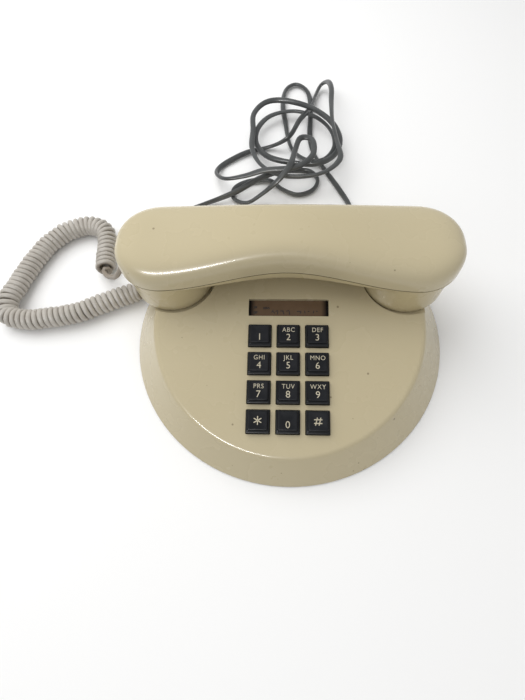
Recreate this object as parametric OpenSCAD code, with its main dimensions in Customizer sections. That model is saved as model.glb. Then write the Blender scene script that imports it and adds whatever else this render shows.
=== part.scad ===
// Desk telephone with a round sloping base, twelve push keys and a lift-off handset.
// Millimetres. +Z is up, the front of the telephone faces -Y, and the origin is the
// centre of the round base on the surface that it stands on.

/* [Base] */
// Diameter of the base at its foot
base_d = 224.5; // [220:0.5:230]
// Height of the panel surface above the table at the base's centre line
panel_z = 38.2; // [37.5:0.1:39]
// Slope of the panel towards the front, in degrees
panel_tilt = 10; // [9.5:0.1:10.5]
// Radius of the round panel
panel_r = 93.1; // [92.6:0.1:93.8]
// Thickness of the moulded walls
wall = 2.8; // [2.4:0.1:3]

/* [Keys] */
// Distance between neighbouring keys, both ways
key_pitch = 19.05; // [18.8:0.05:19.2]
// Side of a key's square skirt
key_side = 15.3; // [14.8:0.1:15.4]
// Height of a key above the panel
key_rise = 4.6; // [4:0.1:5]
// Distance that a key travels
key_travel = 3; // [2.5:0.1:3]

/* [Handset] */
// Length of the handset
handset_l = 227.6; // [226:0.2:228]
// Width of the handset across its ends
end_w = 61.4; // [60:0.2:62]
// Width of the handset at its grip
grip_w = 46; // [44:0.5:48]
// Height of the top of the grip above the table
grip_top = 87; // [85:0.5:88]
// Height of the top of the ends above the table
end_top = 79; // [78:0.5:80]

/* [Cords] */
// Outer diameter of the curly handset cord
curl_d = 16.5; // [15:0.5:17]
// Diameter of the plain ends of the handset cord
tail_d = 4; // [3.5:0.1:4.5]
// Diameter of the line cord
line_d = 5; // [4.6:0.1:5]

/* [Hidden] */
fine = 96;
ivory = [0.80, 0.76, 0.63];
black = [0.10, 0.11, 0.12];
steel = [0.72, 0.73, 0.74];
brass = [0.80, 0.68, 0.38];
copper = [0.72, 0.42, 0.22];
white = [0.88, 0.87, 0.83];
grey = [0.35, 0.36, 0.36];
green = [0.16, 0.38, 0.24];
smoke = [0.32, 0.24, 0.16];

base_r = base_d / 2;
foot_gap = 1;
plate_z = 1.8;
plate_t = 1.2;
plate_top = plate_z + plate_t;
rim_r = 4.5;
panel_v = -9.3;
clearance = 0.3;

window_w = 54.4;
window_h = 12.2;
window_v = 0.5;

key_rows = [-20, -39.05, -58.1, -77.15];
key_hole = key_side + 2 * clearance;
keypad_v = -48.6;
flange_side = 17;
stem_side = 12;
stem_end = -7.2;
board_z = -12;
screw_cells = [[-1, -1], [1, -1], [-1, 1], [1, 1]];

cradle_x = 80;
cradle_y = 26.5;
cradle_r = 30.4;
cradle_floor = 35;
plunger_x = 59;
plunger_y = 27;
plunger_r = 2.6;
boss_places = [[-64, -46], [64, -46], [-55, 68], [55, 68]];
foot_places = [[-70, -58], [70, -58], [-70, 58], [70, 58]];

// The handset lies a little to the left of the base's centre line
handset_x = -1.2;
cup_x = 80;
cup_y = 26.8;
cup_r = 28.5;
cup_floor = 35.5;
cup_edge = 2;
cup_top_x = 81.3;
cup_top_y = 28.3;
cup_top_r = 29.6;
cup_top = 60.6;
capsule_x = 75;
capsule_y = 27.5;
lap = 0.5;
grille_r = 12.5;
end_r = end_w / 2;
end_x = handset_l / 2 - end_r;
seam_mid = 68;
seam_end = 61;
grip_under = 59.2;
shell = 2.5;

// Places of the two base sockets: angle round the base from +X, and height
handset_socket_a = 164;
line_socket_a = 65;
socket_z = 10;
socket_r = 104;

// Middle of the curly part of the handset cord, from the base to its upper end
curl_route = [[-120, 31, 8.3], [-140, 22, 8.3], [-160, 13, 8.3], [-180, 8, 8.3],
    [-199, 6, 8.3], [-215, 10, 9], [-217, 22, 11], [-213, 40, 9], [-208, 58, 8.3],
    [-200, 76, 8.3], [-184, 92, 8.3], [-166, 97, 8.3], [-153, 89, 8.3],
    [-149, 72, 8.3], [-147, 54, 9]];
// Plain upper end of the handset cord, from the curls to the handset's plug
tail_route = [[-147, 54, 9], [-146, 48, 10], [-141, 42, 14], [-132, 35, 23],
    [-124.5, 30, 34], [-119, 28.5, 43.5], [-116.6, 27.6, 47.8], [-114.4, 27.2, 49.2]];
// Middle of the line cord, from the base's rear socket to the wall plug
line_route = [
    [48, 103, 10], [53, 120, 4], [45, 141, 3], [33, 165, 3], [23, 187, 3], [20, 210, 3],
    [21, 236, 3], [21, 260, 3], [17, 276, 3], [7, 284, 3], [-3, 276, 3], [-6, 254, 3],
    [-3, 226, 3], [0, 203, 3], [6, 187, 3], [19, 175, 5], [33, 174, 8], [42, 188, 9],
    [39, 209, 9], [26, 227, 9], [5, 236, 9], [-17, 230, 9], [-29, 213, 9], [-30, 193, 9],
    [-19, 175, 10], [2, 166, 11], [24, 162, 13], [40, 170, 15], [46, 188, 16],
    [39, 210, 17], [21, 231, 16], [-4, 243, 15], [-22, 241, 15], [-33, 225, 15],
    [-33, 203, 15], [-33, 180, 15], [-25, 159, 16], [-8, 145, 17], [14, 141, 19],
    [32, 144, 22], [44, 158, 23], [42, 179, 23], [39, 204, 23], [39, 230, 22],
    [40, 253, 20], [38, 271, 14], [32, 278, 6], [26, 264, 4], [21, 242, 8],
    [10, 216, 15], [2, 197, 15], [-7, 194, 9], [-21, 194, 3], [-37, 189, 3],
    [-51, 180, 3], [-62, 170, 3], [-64, 156, 8], [-55, 144, 14], [-38, 143, 18],
    [-21, 145, 22], [0, 145, 24], [13, 150, 25], [21, 161, 26], [20, 178, 25],
    [10, 180, 25], [5, 162, 27], [1, 144, 29], [-8, 134, 23], [-22, 130, 11],
    [-36, 126, 4], [-48, 132, 3], [-47, 144, 3], [-34, 152, 3], [-17, 153, 3],
    [-6, 143, 3], [8, 136, 3], [21, 141, 3], [26, 153, 3], [20, 163, 3], [8, 164, 4],
    [-10, 157, 9], [-27, 146, 11], [-44, 135, 9], [-60, 130, 5], [-75, 125, 3],
    [-88, 118, 3], [-94, 106, 4]];

function smooth(t) = let (u = max(0, min(1, t))) u * u * (3 - 2 * u);
function polar(r, a, z) = [r * cos(a), r * sin(a), z];
function unit(v) = v / norm(v);

// Direction of a route at one of its points
function heading(p, i) = unit(p[min(i + 1, len(p) - 1)] - p[max(i - 1, 0)]);

// A round tube along a route: one ring of points at each place, and two flat ends
module tube(p, d, sides = 8) {
    ring = [for (i = [0 : len(p) - 1])
        let (t = heading(p, i), s = unit(cross([0, 0, 1], t)), u = cross(t, s))
        for (k = [0 : sides - 1])
            let (a = 360 * (k + 0.5) / sides) p[i] + d / 2 * (cos(a) * s + sin(a) * u)];
    n = len(p) - 1;
    side_faces = [for (i = [0 : n - 1]) for (k = [0 : sides - 1])
        let (a = i * sides + k, b = i * sides + (k + 1) % sides)
        for (f = [[a, a + sides, b], [b, a + sides, b + sides]]) f];
    first = [for (k = [0 : sides - 1]) k];
    last = [for (k = [sides - 1 : -1 : 0]) n * sides + k];
    polyhedron(ring, concat(side_faces, [first, last]));
}

module on_panel(x = 0, v = 0, h = 0) {
    translate([0, 0, panel_z]) rotate([panel_tilt, 0, 0]) translate([x, v, h])
        children();
}

// Solid under the panel, drawn in by an even amount
module base_form(inset, low) {
    bend = rim_r - inset / 2;
    hull() {
        translate([0, 0, low]) cylinder(r = base_r - 1.13 * inset, h = 0.2, $fn = fine);
        on_panel(0, panel_v, -inset - bend) rotate_extrude($fn = fine)
            translate([panel_r - 1.1 * inset - bend, 0]) circle(r = bend, $fn = 20);
    }
}

module each_cradle() {
    for (s = [-1, 1]) translate([s * cradle_x, cradle_y, 0]) children();
}

module each_key_hole() {
    for (v = key_rows) for (c = [-1, 0, 1]) on_panel(c * key_pitch, v) children();
}

module at_socket(a) {
    rotate([0, 0, a]) translate([socket_r, 0, socket_z]) children();
}

module housing() {
    color(ivory) difference() {
        union() {
            difference() {
                base_form(0, foot_gap);
                base_form(wall, foot_gap - 0.1);
            }
            intersection() {
                base_form(0, foot_gap);
                union() {
                    for (p = boss_places) translate([p[0], p[1], plate_top])
                        cylinder(r = 4, h = 60);
                    each_cradle() translate([0, 0, cradle_floor - wall])
                        cylinder(r = cradle_r + wall, h = 40, $fn = 64);
                }
            }
        }
        each_cradle() translate([0, 0, cradle_floor])
            cylinder(r = cradle_r, h = 40, $fn = 64);
        for (s = [-1, 1]) translate([s * plunger_x, plunger_y, cradle_floor - 5])
            cylinder(r = plunger_r + clearance, h = 10, $fn = 32);
        for (p = boss_places) translate([p[0], p[1], plate_top - 1])
            cylinder(r = 1.4, h = 13, $fn = 24);
        each_key_hole() cube([key_hole, key_hole, 20], center = true);
        on_panel(0, window_v) cube([window_w, window_h, 20], center = true);
        for (a = [handset_socket_a, line_socket_a]) at_socket(a)
            translate([-5, -5.3, -4.3]) cube([17, 10.6, 8.6]);
    }
}

module base_plate() {
    color(steel) difference() {
        translate([0, 0, plate_z]) cylinder(r = base_r - 4.6, h = plate_t, $fn = fine);
        for (p = boss_places) translate([p[0], p[1], 0])
            cylinder(r = 1.9, h = 10, $fn = 24);
        for (p = foot_places) translate([p[0], p[1], 0])
            cylinder(r = 3.1, h = 10, $fn = 24);
    }
}

module base_feet() {
    color(black) for (p = foot_places) translate([p[0], p[1], 0]) {
        cylinder(r = 8, h = plate_z, $fn = 40);
        cylinder(r = 3, h = plate_top, $fn = 24);
    }
}

module base_screws() {
    color(steel) for (p = boss_places) translate([p[0], p[1], 0]) {
        translate([0, 0, 0.5]) cylinder(r = 3.2, h = plate_z - 0.5, $fn = 24);
        translate([0, 0, plate_z - 0.1]) cylinder(r = 1.35, h = 10, $fn = 24);
    }
}

module number_window() {
    color(smoke) on_panel(0, window_v, -wall - 1.6)
        translate([-29, -8, 0]) cube([58, 16, 1.5]);
}

module number_card() {
    color(white) on_panel(0, window_v, -wall - 2.1)
        translate([-27, -6.5, 0]) cube([54, 13, 0.3]);
}

module card_tray() {
    color(black) on_panel(0, window_v, -wall - 4.2) difference() {
        translate([-29, -8, 0]) cube([58, 16, 2.5]);
        translate([-27.5, -7, 1.5]) cube([55, 14, 2]);
    }
}

module keypad_frame() {
    color(grey) on_panel(0, keypad_v) difference() {
        translate([-31, -40, -wall - 9]) cube([62, 80, 8.9]);
        translate([-28.9, -37.9, -wall - 12]) cube([57.8, 75.8, 20]);
    }
}

module keypad_board() {
    color(green) on_panel(0, keypad_v, board_z - 1.5) difference() {
        translate([-31, -40, 0]) cube([62, 80, 1.5]);
        for (s = screw_cells) translate([s[0] * 29.9, s[1] * 38.9, -1])
            cylinder(r = 0.7, h = 4, $fn = 24);
    }
}

module contact_domes() {
    color(white) for (v = key_rows) for (c = [-1, 0, 1])
        on_panel(c * key_pitch, v, board_z) cylinder(r = 4, h = 1.5, $fn = 32);
}

module keypad_screws() {
    color(steel) on_panel(0, keypad_v, board_z - 2.7) for (s = screw_cells)
        translate([s[0] * 29.9, s[1] * 38.9, 0]) {
            cylinder(r = 1.6, h = 1.2, $fn = 24);
            cylinder(r = 0.65, h = 2.6, $fn = 24);
        }
}

// One key: a square skirt, a smaller raised top, a retaining flange and a stem
module key(column, row) {
    skirt_h = key_rise - 1.8;
    color(black) on_panel(column * key_pitch, key_rows[row]) {
        translate([-key_side / 2, -key_side / 2, -wall - clearance])
            cube([key_side, key_side, skirt_h + wall + clearance]);
        translate([-6.5, -5.7, skirt_h]) cube([13, 13, key_rise - skirt_h]);
        translate([-flange_side / 2, -flange_side / 2, -wall - 1.5])
            cube([flange_side, flange_side, 1.2]);
        translate([-stem_side / 2, -stem_side / 2, stem_end])
            cube([stem_side, stem_side, -stem_end - wall - 1.5]);
    }
}
module key_1() { key(-1, 0); }
module key_2() { key(0, 0); }
module key_3() { key(1, 0); }
module key_4() { key(-1, 1); }
module key_5() { key(0, 1); }
module key_6() { key(1, 1); }
module key_7() { key(-1, 2); }
module key_8() { key(0, 2); }
module key_9() { key(1, 2); }
module key_star() { key(-1, 3); }
module key_0() { key(0, 3); }
module key_hash() { key(1, 3); }

// Button in a cradle: its head goes through the floor and its collar stays below
module hook_plunger(s) {
    color(ivory) translate([s * plunger_x, plunger_y, 0]) {
        translate([0, 0, 15]) cylinder(r = plunger_r, h = 20.2, $fn = 32);
        translate([0, 0, 24]) cylinder(r = 4.6, h = 1.5, $fn = 32);
    }
}
module hook_plunger_left() { hook_plunger(-1); }
module hook_plunger_right() { hook_plunger(1); }

// Rocking bar under both plungers, on a pin that runs through its two arms
lever_y = 4;
lever_z = 14;
lever_arm_x = 24;
pin_r = 1.25;
module hook_lever() {
    color(steel) difference() {
        union() {
            translate([-62, 24, 13.3]) cube([124, 5, 1.4]);
            for (s = [-1, 1]) translate([s * lever_arm_x - 5, lever_y, 13.3])
                cube([10, 21, 1.4]);
            for (s = [-1, 1]) translate([s * lever_arm_x - 5, lever_y, lever_z])
                rotate([0, 90, 0]) cylinder(r = 2.4, h = 10, $fn = 32);
        }
        translate([-50, lever_y, lever_z]) rotate([0, 90, 0])
            cylinder(r = pin_r + 0.05, h = 100, $fn = 32);
    }
}

module hook_pivot_pin() {
    color(steel) translate([-35, lever_y, lever_z]) rotate([0, 90, 0])
        cylinder(r = pin_r, h = 70, $fn = 32);
}

module hook_bracket() {
    color(steel) difference() {
        for (s = [-1, 1]) {
            translate([s * 32 - 1, lever_y - 4, plate_top]) cube([2, 8, 15]);
            translate([s * 35 - 4, lever_y - 4, plate_top]) cube([8, 8, 1.2]);
        }
        translate([-60, lever_y, lever_z]) rotate([0, 90, 0])
            cylinder(r = pin_r, h = 120, $fn = 32);
    }
}

module hook_switch() {
    color(black) {
        translate([-9, 18, plate_top]) cube([18, 14, 8.2]);
        translate([-1.5, 25, plate_top + 8]) cube([3, 3, 2]);
    }
}

gong_x = 27;
gong_y = 62;
clapper_y = 48;
module ringer_frame() {
    color(steel) difference() {
        union() {
            translate([-31, 46, plate_top]) cube([62, 21, 1.5]);
            for (s = [-1, 1]) translate([s * gong_x, gong_y, plate_top])
                cylinder(r = 3, h = 15, $fn = 32);
            translate([-7, clapper_y - 4, plate_top]) cube([14, 6, 2]);
            translate([0, clapper_y, plate_top]) cylinder(r = 2, h = 17, $fn = 32);
        }
        for (s = [-1, 1]) translate([s * gong_x, gong_y, plate_top + 5])
            cylinder(r = 1.2, h = 20, $fn = 24);
    }
}

module ringer_coil() {
    color(copper) difference() {
        translate([-11, 38.5, plate_top + 8]) rotate([0, 90, 0])
            cylinder(r = 5.5, h = 22, $fn = 40);
        translate([-12, 38.5, plate_top + 8]) rotate([0, 90, 0])
            cylinder(r = 2, h = 24, $fn = 32);
    }
}

// A bell cup, open downwards, with a hole for its screw
module gong(x, r) {
    color(brass) translate([x, gong_y, plate_top + 5]) rotate_extrude($fn = 64)
        polygon([[3.2, 10], [r * 0.6, 10], [r * 0.9, 7], [r, 0], [r - 1.2, 0],
            [r * 0.9 - 1.2, 6.2], [r * 0.6 - 0.3, 8.8], [3.2, 8.8]]);
}
module ringer_gong_large() { gong(-gong_x, 20); }
module ringer_gong_small() { gong(gong_x, 17.5); }

module gong_screws() {
    color(steel) for (s = [-1, 1]) translate([s * gong_x, gong_y, plate_top + 8]) {
        cylinder(r = 1.15, h = 7.2, $fn = 24);
        translate([0, 0, 7.1]) cylinder(r = 4.4, h = 1.6, $fn = 32);
    }
}

module ringer_clapper() {
    color(steel) difference() {
        union() {
            translate([0, clapper_y, 14]) cylinder(r = 3.4, h = 3, $fn = 32);
            translate([-0.8, clapper_y + 2.5, 14.7]) cube([1.6, 13, 1.6]);
            translate([0, clapper_y + 17, 13]) cylinder(r = 2.2, h = 5, $fn = 32);
        }
        translate([0, clapper_y, 10]) cylinder(r = 2.05, h = 12, $fn = 32);
    }
}

module network_board() {
    color(green) translate([-84, -22, plate_top + 3]) cube([46, 38, 1.6]);
}

module network_parts() {
    color(grey) translate([0, 0, plate_top + 4.6]) {
        translate([-80, -18, 0]) cube([18, 16, 12]);
        for (k = [0 : 3]) translate([-50, -17 + 8 * k, 0])
            cylinder(r = 3, h = 9, $fn = 32);
        for (k = [0 : 4]) translate([-79 + 4 * k, 6, 0]) cube([2.4, 7, 3]);
    }
    color(steel) for (p = [[-82, -20], [-42, -20], [-82, 13], [-42, 13]])
        translate([p[0], p[1], plate_top]) cylinder(r = 1.6, h = 3, $fn = 24);
}

module socket(a) {
    color(black) at_socket(a) difference() {
        translate([-18, -7.5, -6]) cube([13.2, 15, 12]);
        translate([-10, -4.1, -3.6]) cube([12, 8.2, 7.2]);
    }
}
module handset_socket() { socket(handset_socket_a); }
module line_socket() { socket(line_socket_a); }

// Half-width of the handset at a place along it
function grip_half(x) = abs(x) <= end_x
    ? grip_w / 2 + (end_r - grip_w / 2) * smooth(abs(x) / end_x)
    : end_r * sqrt(max(0, 1 - pow((abs(x) - end_x) / end_r, 2)));
function grip_mid(x) = 31 - 1.6 * smooth(abs(x) / end_x);
function seam(x) = seam_mid - (seam_mid - seam_end) * smooth(abs(x) / 86);
function end_fall(x) = abs(x) <= end_x ? 1
    : pow(max(0, 1 - pow((abs(x) - end_x) / end_r, 3.4)), 1 / 3.4);
function crest(x) = grip_top - (grip_top - end_top) * smooth(abs(x) / 92);

// Places of the cross-sections: even along the grip, closer at the round ends
stations = concat([for (a = [86, 74, 60, 44, 26]) -end_x - end_r * sin(a)],
    [for (k = [-7 : 7]) end_x * k / 7],
    [for (a = [26, 44, 60, 74, 86]) end_x + end_r * sin(a)]);
arc = 14;

// Part of the handset above or below its seam, drawn in by an even amount
module handset_form(inset, up) {
    n = len(stations);
    shrink = (handset_l / 2 - inset) / (handset_l / 2);
    ring = [for (x = stations)
        let (w = max(0.4, grip_half(x) - inset),
            full = up ? (crest(x) - seam(x)) * end_fall(x) : seam(x) - grip_under,
            h = max(0.3, full - inset) * (up ? 1 : -1))
        for (k = [0 : arc])
            let (c = cos(180 * k / arc), s = sin(180 * k / arc))
            [x * shrink, grip_mid(x) + w * sign(c) * pow(abs(c), 0.58),
                seam(x) + h * pow(s, 0.6)]];
    m = arc + 1;
    sides = [for (i = [0 : n - 2]) for (k = [0 : arc])
        let (a = i * m + k, b = i * m + (k + 1) % m)
        for (f = up ? [[a, a + m, b], [b, a + m, b + m]]
            : [[a, b, a + m], [b, b + m, a + m]]) f];
    low = [for (k = [0 : arc]) up ? k : arc - k];
    high = [for (k = [0 : arc]) (n - 1) * m + (up ? arc - k : k)];
    polyhedron(ring, concat(sides, [low, high]));
}

module cup_form(s, inset) {
    hull() {
        translate([s * cup_x, cup_y, cup_floor + inset])
            cylinder(r = cup_r - cup_edge - inset, h = 0.1, $fn = 48);
        translate([s * cup_x, cup_y, cup_floor + cup_edge + inset])
            cylinder(r = cup_r - inset, h = 0.1, $fn = 48);
        translate([s * cup_top_x, cup_top_y, cup_top - 0.1])
            cylinder(r = cup_top_r - inset, h = 0.1 + inset, $fn = 48);
    }
}

module handset_top_shell() {
    color(ivory) translate([handset_x, 0, 0]) difference() {
        handset_form(0, true);
        translate([0, 0, -lap]) handset_form(shell, true);
    }
}

module handset_lower_shell() {
    color(ivory) translate([handset_x, 0, 0]) difference() {
        union() {
            handset_form(0, false);
            for (s = [-1, 1]) cup_form(s, 0);
        }
        translate([0, 0, lap]) handset_form(shell, false);
        for (s = [-1, 1]) {
            cup_form(s, shell);
            translate([s * capsule_x, capsule_y, 30])
                cylinder(r = grille_r, h = 15, $fn = 48);
            translate([s * 40, 31, 50]) cylinder(r = 1.7, h = 20, $fn = 24);
        }
        translate([-113, 21.5, 45.4]) cube([15, 11.4, 8.2]);
    }
}

module handset_screws() {
    color(steel) for (s = [-1, 1]) translate([handset_x + s * 40, 31, 0]) {
        translate([0, 0, 58.2]) cylinder(r = 2.9, h = 1, $fn = 24);
        translate([0, 0, 59.1]) cylinder(r = 1.5, h = 12, $fn = 24);
    }
}

// Perforated disc in the floor of a cup
module grille(s) {
    color(ivory) translate([handset_x + s * capsule_x, capsule_y, cup_floor + 0.4])
        difference() {
            cylinder(r = grille_r - 0.05, h = 2, $fn = 48);
            translate([0, 0, -1]) cylinder(r = 0.9, h = 4, $fn = 16);
            for (q = [[6, 4.4], [12, 8.8]]) for (k = [0 : q[0] - 1])
                rotate([0, 0, 360 * k / q[0]]) translate([q[1], 0, -1])
                    cylinder(r = 0.9, h = 4, $fn = 16);
        }
}
module receiver_grille() { grille(1); }
module transmitter_grille() { grille(-1); }

module capsule(s, r, h) {
    color(steel) translate([handset_x + s * capsule_x, capsule_y, cup_floor + 4.6])
        cylinder(r = r, h = h, $fn = 48);
}
module receiver_capsule() { capsule(1, 16.5, 12); }
module transmitter_capsule() { capsule(-1, 14, 9); }

module capsule_rings() {
    color(black) for (s = [-1, 1])
        translate([handset_x + s * capsule_x, capsule_y, cup_floor + 2.7]) difference() {
            cylinder(r = 15, h = 1.8, $fn = 48);
            translate([0, 0, -1]) cylinder(r = 12.8, h = 4, $fn = 48);
        }
}

module handset_end_socket() {
    color(black) translate([handset_x, 0, 0]) difference() {
        translate([-98, 21, 45]) cube([8.5, 12.4, 10]);
        translate([-99, 23.2, 46.2]) cube([7, 8.2, 6.6]);
    }
}

module handset_cord_coil() {
    color(white) tube(curl_route, curl_d, 12);
}

module handset_cord_tail() {
    color(white) tube(tail_route, tail_d);
}

module handset_cord_lead() {
    color(white) tube([polar(114.2, handset_socket_a, socket_z),
        (polar(114.2, handset_socket_a, socket_z) + curl_route[0]) / 2,
        curl_route[0]], tail_d);
}

// Modular plug with a short boot, lying along +X from its socket
module plug(long) {
    translate([-9.5, -3.7, -3.2]) cube([long, 7.4, 6.4]);
    translate([long - 9.5, 0, 0]) rotate([0, 90, 0])
        cylinder(r = 3, h = 5, $fn = 32);
}

module base_end_plug() {
    color(white) at_socket(handset_socket_a) plug(14.7);
}

module handset_end_plug() {
    color(white) translate([handset_x, 0, 0]) {
        translate([-107, 23.7, 46.6]) cube([11, 7, 5.8]);
        translate([-112, 27.2, 49.4]) rotate([0, 90, 0])
            cylinder(r = 2.8, h = 5, $fn = 32);
    }
}

module line_cord() {
    color(grey) tube(line_route, line_d);
}

module line_plug_phone() {
    color(grey) at_socket(line_socket_a) plug(14.7);
}

module line_plug_wall() {
    color(grey) translate([-100, 104, 0]) rotate([0, 0, 205]) {
        translate([0, -5.8, 0.2]) cube([18, 11.6, 8]);
        translate([-5, 0, 4.2]) rotate([0, 90, 0]) cylinder(r = 3.2, h = 5, $fn = 32);
    }
}

housing();
base_plate();
base_feet();
base_screws();
number_window();
number_card();
card_tray();
keypad_frame();
keypad_board();
contact_domes();
keypad_screws();
key_1();
key_2();
key_3();
key_4();
key_5();
key_6();
key_7();
key_8();
key_9();
key_star();
key_0();
key_hash();
hook_plunger_left();
hook_plunger_right();
hook_lever();
hook_bracket();
hook_pivot_pin();
hook_switch();
ringer_frame();
ringer_coil();
ringer_gong_large();
ringer_gong_small();
gong_screws();
ringer_clapper();
network_board();
network_parts();
handset_socket();
line_socket();
handset_top_shell();
handset_lower_shell();
handset_screws();
receiver_grille();
transmitter_grille();
receiver_capsule();
transmitter_capsule();
capsule_rings();
handset_end_socket();
handset_cord_coil();
handset_cord_tail();
handset_cord_lead();
base_end_plug();
handset_end_plug();
line_cord();
line_plug_phone();
line_plug_wall();
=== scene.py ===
# %% [markdown]
# # A push-button desk telephone
# The frame comes from the design model: every part is already in its place, in
# metres. The surfaces that a person sees are made again here with rounder, finer
# meshes, and the parts underneath keep their shapes and get finishes.

# %% Load the frame
import math
import bmesh
import bpy
import numpy as np
from mathutils import Matrix, Vector


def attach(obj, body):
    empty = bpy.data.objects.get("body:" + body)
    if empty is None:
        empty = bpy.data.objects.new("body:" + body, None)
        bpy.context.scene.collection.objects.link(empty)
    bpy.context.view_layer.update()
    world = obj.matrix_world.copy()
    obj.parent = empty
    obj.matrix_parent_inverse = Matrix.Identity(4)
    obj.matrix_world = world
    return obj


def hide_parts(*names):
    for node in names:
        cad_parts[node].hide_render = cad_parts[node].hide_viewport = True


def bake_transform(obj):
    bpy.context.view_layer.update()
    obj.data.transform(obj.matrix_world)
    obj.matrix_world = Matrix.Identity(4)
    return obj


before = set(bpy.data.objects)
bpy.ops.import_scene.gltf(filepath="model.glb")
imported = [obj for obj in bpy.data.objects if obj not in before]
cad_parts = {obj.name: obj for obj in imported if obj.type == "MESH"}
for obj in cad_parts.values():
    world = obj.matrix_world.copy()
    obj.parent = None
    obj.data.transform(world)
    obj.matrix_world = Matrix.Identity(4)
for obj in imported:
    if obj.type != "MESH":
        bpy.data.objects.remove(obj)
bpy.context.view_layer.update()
scene = bpy.context.scene
MM = 0.001

# %% [markdown]
# ## Sizes
# The panel of the telephone is a plane that slopes down to the front. A point on it
# is easiest to give as x, a distance v up the slope and a height h off the surface,
# so one function turns those three into a place in the room.

# %% Sizes shared by several pieces
BASE_R = 112.25
FOOT_GAP = 1.0
PANEL_Z = 38.2
TILT = math.radians(10)
PANEL_R = 93.1
PANEL_V = -9.3
RIM_R = 4.5
KEY_PITCH = 19.05
KEY_ROWS = [-20, -39.05, -58.1, -77.15]
KEY_SIDE = 15.3
KEY_HOLE = 15.9
WINDOW = (54.4, 12.2, 0.5)  # width, height and distance up the slope
CRADLE = (80, 26.5, 30.4, 35)  # x, y, radius and floor height
HANDSET_X = -1.2


def on_panel(x, v, h=0.0):
    """Place, in millimetres, of a point given by x, distance up the slope, height."""
    c, s = math.cos(TILT), math.sin(TILT)
    return (x, v * c - h * s, PANEL_Z + v * s + h * c)


print("top of the panel", [round(k, 1) for k in on_panel(0, PANEL_V + PANEL_R)])

# %% [markdown]
# ## Camera
# The telephone is seen from the front and well above, with a wide lens held close,
# which is why the front of the base looks large and its walls splay outwards.

# %% Camera
EYE = Vector((-0.004245, -0.155960, 0.304318))
LOOK_DOWN, LOOK_LEFT, LEAN = math.radians(64.838), math.radians(5.793), math.radians(4.606)
forward = Vector((-math.sin(LOOK_LEFT) * math.cos(LOOK_DOWN),
                  math.cos(LOOK_LEFT) * math.cos(LOOK_DOWN), -math.sin(LOOK_DOWN)))
level = Vector((math.cos(LOOK_LEFT), math.sin(LOOK_LEFT), 0))
over = level.cross(forward)
right = math.cos(LEAN) * level - math.sin(LEAN) * over
upward = math.sin(LEAN) * level + math.cos(LEAN) * over
camera = bpy.data.objects.new("camera", bpy.data.cameras.new("camera"))
camera.matrix_world = Matrix((
    (right.x, upward.x, -forward.x, EYE.x), (right.y, upward.y, -forward.y, EYE.y),
    (right.z, upward.z, -forward.z, EYE.z), (0, 0, 0, 1)))
camera.data.lens = 23.14
camera.data.sensor_width = 36
camera.data.clip_start = 0.01
scene.collection.objects.link(camera)
scene.camera = camera
print("camera looks along", tuple(round(k, 3) for k in forward))

# %% [markdown]
# ## Meshes from rings
# Most pieces of a telephone are drawn as rings of points that are joined one to the
# next: a cord, a key, a handset. One function builds them all and closes both ends.


# %% Helpers for meshes
def new_object(name, points, faces, smooth=True):
    """A mesh object from points in millimetres."""
    mesh = bpy.data.meshes.new(name)
    mesh.from_pydata([tuple(float(c) * MM for c in p) for p in points], [], faces)
    bm = bmesh.new()
    bm.from_mesh(mesh)
    bmesh.ops.recalc_face_normals(bm, faces=bm.faces)
    bm.to_mesh(mesh)
    bm.free()
    obj = bpy.data.objects.new(name, mesh)
    scene.collection.objects.link(obj)
    mesh.shade_smooth() if smooth else mesh.shade_flat()
    return obj


def loft(name, rings, smooth=True):
    """A closed surface through equal rings of points, each ring closed on itself."""
    m = len(rings[0])
    points = [p for ring in rings for p in ring]
    faces = [(i * m + k, i * m + (k + 1) % m, (i + 1) * m + (k + 1) % m, (i + 1) * m + k)
             for i in range(len(rings) - 1) for k in range(m)]
    faces += [tuple(range(m)), tuple((len(rings) - 1) * m + k for k in range(m))]
    return new_object(name, points, faces, smooth)


def finished(obj, angle=30):
    """Applies the modifiers, so that the piece is a plain mesh, and marks its edges."""
    bpy.context.view_layer.update()
    graph = bpy.context.evaluated_depsgraph_get()
    mesh = bpy.data.meshes.new_from_object(obj.evaluated_get(graph))
    obj.modifiers.clear()
    old, obj.data = obj.data, mesh
    bpy.data.meshes.remove(old)
    mesh.shade_smooth()
    mesh.set_sharp_from_angle(angle=math.radians(angle))
    return obj


def joined(name, pieces):
    """Several plain mesh objects as one, each keeping its own materials."""
    bm, materials = bmesh.new(), []
    for piece in pieces:
        before = len(bm.faces)
        bm.from_mesh(piece.data)
        bm.faces.ensure_lookup_table()
        own = list(piece.data.materials)
        for face in bm.faces[before:] if own else []:
            shade = own[min(face.material_index, len(own) - 1)]
            if shade not in materials:
                materials.append(shade)
            face.material_index = materials.index(shade)
    mesh = bpy.data.meshes.new(name)
    bm.to_mesh(mesh)
    bm.free()
    for shade in materials:
        mesh.materials.append(shade)
    for piece in pieces:
        bpy.data.objects.remove(piece)
    obj = bpy.data.objects.new(name, mesh)
    scene.collection.objects.link(obj)
    mesh.shade_smooth()
    mesh.set_sharp_from_angle(angle=math.radians(35))
    return obj


def modified(obj, kind, **settings):
    """Adds a modifier with these settings."""
    mod = obj.modifiers.new(kind.lower(), kind)
    for key, value in settings.items():
        setattr(mod, key, value)
    return mod


# %% [markdown]
# ## Shader expressions
# A material is a sum: a base colour, a little mottling, a little grime. Wrapping a
# socket in a small class lets that sum be written as one.


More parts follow.
